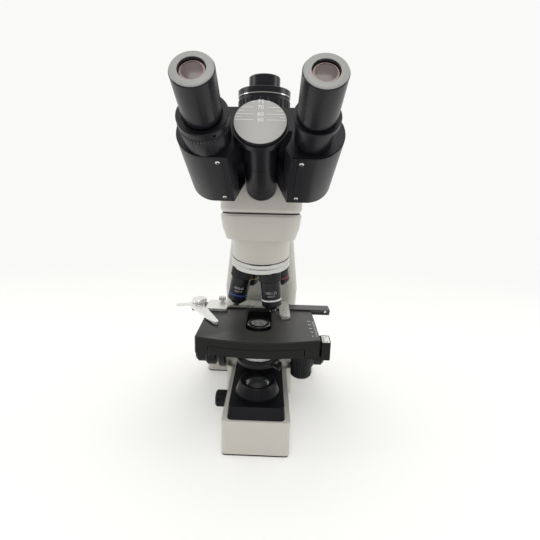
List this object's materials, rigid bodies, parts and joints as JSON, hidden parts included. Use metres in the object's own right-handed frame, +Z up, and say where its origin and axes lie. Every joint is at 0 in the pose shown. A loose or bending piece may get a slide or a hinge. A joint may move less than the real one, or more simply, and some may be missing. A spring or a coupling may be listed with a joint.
{
  "type": "compound microscope",
  "caption": "Trinocular compound microscope with a mechanical stage, substage condenser, rotating objective turret and swivelling binocular head.",
  "frame": {"origin": "on the bench directly under the optical axis of the objective in use, in the plane of the rubber feet", "axes": "+Z up along the optical axis, +Y away from the user towards the arm, +X to the user's right"},
  "size_m": [0.186, 0.3442, 0.3793],
  "materials": {
    "white_paint": "smooth warm white paint",
    "cover_black": "smooth black moulding",
    "sheet_metal": "plain",
    "rubber": "matt",
    "steel": "plain",
    "lens_glass": "polished",
    "coated_glass": "polished, coated",
    "black_plastic": "fine texture",
    "knob_black": "ridged grip",
    "satin_black": "satin",
    "stage_black": "matt coat",
    "dark_grey": "anodised",
    "bright_steel": "satin",
    "chrome": "bright",
    "objective_black": "semi-gloss",
    "head_black": "fine texture",
    "eyepiece_black": "satin",
    "scale_grey": "printed scale"
  },
  "bodies": {
    "stand": {"base_frame": "white_paint", "base_top_cover": "cover_black", "base_bottom_plate": "sheet_metal", "rubber_feet": "rubber", "bottom_screws": "steel", "collector_housing": "cover_black", "collector_lens": "lens_glass", "lamp_module": "sheet_metal", "power_inlet": "black_plastic", "arm": "white_paint", "focus_guide": "satin_black", "stop_collar": "knob_black", "nosepiece_body": "white_paint"},
    "rocker": {"power_switch": "black_plastic"},
    "dimmer": {"dimmer_knob": "black_plastic"},
    "coarse_drive": {"coarse_knobs": "knob_black"},
    "fine_drive": {"fine_knobs": "knob_black"},
    "tension": {"tension_collar": "knob_black"},
    "stage_base": {"stage_bracket": "satin_black", "stage_lower_plate": "stage_black", "vernier_bracket": "stage_black"},
    "stage_table": {"stage_upper_plate": "stage_black"},
    "y_drive": {"y_knob": "knob_black"},
    "x_drive": {"x_knob": "knob_black"},
    "slide_holder": {"holder_carriage": "dark_grey", "holder_bar": "bright_steel", "holder_screws": "steel"},
    "finger": {"spring_finger": "bright_steel"},
    "condenser": {"condenser_carrier": "satin_black", "condenser_housing": "chrome", "condenser_lens": "lens_glass"},
    "condenser_drive": {"condenser_knob": "knob_black"},
    "iris": {"iris_ring": "satin_black"},
    "filter": {"filter_ring": "satin_black"},
    "turret": {"turret_ring": "chrome", "objective_4x": "objective_black", "objective_10x": "objective_black", "objective_40x": "objective_black", "objective_100x": "objective_black"},
    "nose_40x": {"front_lens_40x": "chrome"},
    "nose_100x": {"front_lens_100x": "chrome"},
    "head": {"head_housing": "white_paint", "head_prism": "lens_glass", "hinge_post": "head_black", "scale_disc": "scale_grey", "photo_tube": "eyepiece_black"},
    "light_rod": {"light_path_rod": "satin_black"},
    "left_half": {"left_wing": "head_black", "left_wing_cover": "head_black"},
    "right_half": {"right_wing": "head_black", "right_wing_cover": "head_black", "right_tube": "head_black"},
    "diopter": {"diopter_ring": "head_black"},
    "left_inner": {"left_tube": "chrome"},
    "left_eye": {"left_eyepiece": "eyepiece_black", "left_eye_lens": "coated_glass"},
    "right_eye": {"right_eyepiece": "eyepiece_black", "right_eye_lens": "coated_glass"},
    "clamp": {"photo_clamp_ring": "knob_black"},
    "cap": {"dust_cap": "eyepiece_black"}
  },
  "joints": [
    {"name": "switch_rock", "type": "hinge", "parent": "stand", "child": "rocker", "pos_m": [0.032, 0.184, 0.017], "axis": [1, 0, 0], "range_deg": [-8, 8]},
    {"name": "dimmer_turn", "type": "hinge", "parent": "stand", "child": "dimmer", "pos_m": [-0.04, 0.0225, 0.0275], "axis": [-1, 0, 0], "range_deg": [-135, 135]},
    {"name": "coarse_turn", "type": "hinge", "parent": "stand", "child": "coarse_drive", "pos_m": [0, 0.096, 0.06], "axis": [-1, 0, 0], "range_deg": [-134.1, 62.1]},
    {"name": "stage_focus", "type": "slide", "parent": "stand", "child": "stage_base", "axis": [0, 0, 1], "range_m": [-0.01404, 0.0065]},
    {"name": "fine_turn", "type": "hinge", "parent": "stand", "child": "fine_drive", "pos_m": [0, 0.096, 0.06], "axis": [-1, 0, 0], "range_deg": [-360, 360]},
    {"name": "tension_turn", "type": "hinge", "parent": "stand", "child": "tension", "pos_m": [0.05, 0.096, 0.06], "axis": [1, 0, 0], "range_deg": [-40, 40]},
    {"name": "y_turn", "type": "hinge", "parent": "stage_table", "child": "y_drive", "pos_m": [0.051, 0.03, 0.085], "axis": [0, 0, 1], "range_deg": [-185.6, 163.8]},
    {"name": "stage_y", "type": "slide", "parent": "stage_base", "child": "stage_table", "axis": [0, 1, 0], "range_m": [-0.017, 0.015]},
    {"name": "x_turn", "type": "hinge", "parent": "stage_table", "child": "x_drive", "pos_m": [0.051, 0.03, 0.068], "axis": [0, 0, 1], "range_deg": [-152.9, 305.7]},
    {"name": "holder_x", "type": "slide", "parent": "stage_table", "child": "slide_holder", "axis": [1, 0, 0], "range_m": [-0.028, 0.014]},
    {"name": "finger_open", "type": "hinge", "parent": "slide_holder", "child": "finger", "pos_m": [-0.073, 0.042, 0.141], "axis": [0, 0, -1], "range_deg": [0, 24], "stiffness_Nm_per_rad": 0.04, "springref_deg": -8.59},
    {"name": "condenser_turn", "type": "hinge", "parent": "stage_base", "child": "condenser_drive", "pos_m": [0, 0.0619, 0.098], "axis": [-1, 0, 0], "range_deg": [-109.2, 0]},
    {"name": "condenser_lift", "type": "slide", "parent": "stage_base", "child": "condenser", "axis": [0, 0, 1], "range_m": [-0.008, 0]},
    {"name": "iris_turn", "type": "hinge", "parent": "condenser", "child": "iris", "pos_m": [0, 0, 0.0954], "axis": [0, 0, 1], "range_deg": [-25, 25]},
    {"name": "filter_swing", "type": "hinge", "parent": "condenser", "child": "filter", "pos_m": [-0.013, 0.027, 0.0925], "axis": [0, 0, -1], "range_deg": [0, 80]},
    {"name": "turret_turn", "type": "hinge", "parent": "stand", "child": "turret", "pos_m": [0, 0.02015, 0.1971], "axis": [0, -0.2113, 0.9774], "continuous": true},
    {"name": "front_40x_spring", "type": "slide", "parent": "turret", "child": "nose_40x", "axis": [0.1866, -0.1096, 0.9763], "range_m": [0, 0.0016], "stiffness_N_per_m": 500, "springref_m": -0.001},
    {"name": "front_100x_spring", "type": "slide", "parent": "turret", "child": "nose_100x", "axis": [-0.0992, -0.0242, 0.9948], "range_m": [0, 0.0016], "stiffness_N_per_m": 500, "springref_m": -0.001},
    {"name": "head_swivel", "type": "hinge", "parent": "stand", "child": "head", "pos_m": [0, 0, 0.2535], "axis": [0, 0, 1], "continuous": true},
    {"name": "light_rod_pull", "type": "slide", "parent": "head", "child": "light_rod", "axis": [1, 0, 0], "range_m": [0, 0.012]},
    {"name": "left_fold", "type": "hinge", "parent": "head", "child": "left_half", "pos_m": [0, -0.1055, 0.3223], "axis": [0, -0.866, 0.5], "range_deg": [0, 40]},
    {"name": "right_fold", "type": "hinge", "parent": "head", "child": "right_half", "pos_m": [0, -0.1055, 0.3223], "axis": [0, -0.866, 0.5], "range_deg": [-40, 0]},
    {"name": "diopter_turn", "type": "hinge", "parent": "left_half", "child": "diopter", "pos_m": [-0.0375, -0.11513, 0.32162], "axis": [0, -0.866, 0.5], "range_deg": [-150, 150]},
    {"name": "left_tube_slide", "type": "slide", "parent": "left_half", "child": "left_inner", "axis": [0, -0.866, 0.5], "range_m": [-0.00262, 0.00262]},
    {"name": "left_eyepiece_pull", "type": "slide", "parent": "left_inner", "child": "left_eye", "axis": [0, -0.866, 0.5], "range_m": [0, 0.02]},
    {"name": "right_eyepiece_pull", "type": "slide", "parent": "right_half", "child": "right_eye", "axis": [0, -0.866, 0.5], "range_m": [0, 0.02]},
    {"name": "clamp_turn", "type": "hinge", "parent": "head", "child": "clamp", "pos_m": [0, 0, 0.35], "axis": [0, 0, 1], "range_deg": [-45, 45]},
    {"name": "cap_lift", "type": "slide", "parent": "head", "child": "cap", "axis": [0, 0, 1], "range_m": [0, 0.012]}
  ],
  "couplings": [
    {"joint": "coarse_turn", "follows": "stage_focus", "rad_per_m": 166.67},
    {"joint": "y_turn", "follows": "stage_y", "rad_per_m": 190.48},
    {"joint": "x_turn", "follows": "holder_x", "rad_per_m": -190.48},
    {"joint": "condenser_turn", "follows": "condenser_lift", "rad_per_m": 238.1},
    {"joint": "right_fold", "follows": "left_fold", "ratio": -1},
    {"joint": "left_tube_slide", "follows": "diopter_turn", "m_per_rad": 0.001}
  ]
}
